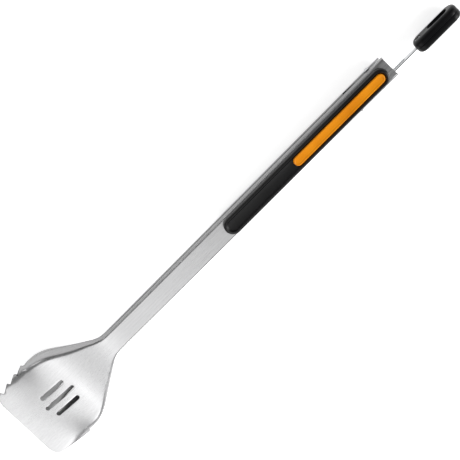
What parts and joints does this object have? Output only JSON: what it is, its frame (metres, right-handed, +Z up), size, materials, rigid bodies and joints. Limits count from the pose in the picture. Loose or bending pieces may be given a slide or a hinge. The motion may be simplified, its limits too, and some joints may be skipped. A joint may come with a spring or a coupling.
{
  "type": "grill tongs",
  "caption": "Long-handled steel locking grill tongs with toothed slotted scoops, soft grips and a sliding pull-tab lock.",
  "frame": {"origin": "centre of the bounding box's base, on the surface that the closed tongs lie on", "axes": "+X along the arms from the scoops to the pull tab, +Y towards the hinge pin's head, +Z up through the faces of the arms"},
  "size_m": [0.475, 0.078, 0.0245],
  "materials": {
    "arm_steel": "brushed along the arm",
    "plate_steel": "satin, cut edges",
    "pin_steel": "turned, satin",
    "spring_steel": "drawn wire",
    "grip_rubber": "matte moulded",
    "insert_plastic": "semi-gloss moulded",
    "tab_plastic": "satin moulded"
  },
  "bodies": {
    "lower_body": {"lower_arm": "arm_steel", "lower_grip": "grip_rubber", "lower_insert": "insert_plastic", "hinge_pin": "pin_steel", "hinge_washer": "pin_steel", "spacer_washer_left": "pin_steel", "spring_bush": "pin_steel", "spacer_washer_right": "pin_steel", "torsion_spring": "spring_steel", "lock_guide_pin": "pin_steel"},
    "upper_body": {"upper_arm": "arm_steel", "upper_grip": "grip_rubber", "upper_insert": "insert_plastic", "lock_stud": "pin_steel"},
    "lock": {"lock_plate": "plate_steel", "pull_tab_left": "tab_plastic", "pull_tab_right": "tab_plastic", "tab_rivet_front": "pin_steel", "tab_rivet_rear": "pin_steel"}
  },
  "joints": [
    {"name": "arm_hinge", "type": "hinge", "parent": "lower_body", "child": "upper_body", "pos_m": [0.1529, 0, 0.01025], "axis": [0, 1, 0], "range_deg": [0, 15], "deforming": ["torsion_spring"]},
    {"name": "lock_slide", "type": "slide", "parent": "lower_body", "child": "lock", "axis": [1, 0, 0], "range_m": [-0.018, 0]}
  ]
}
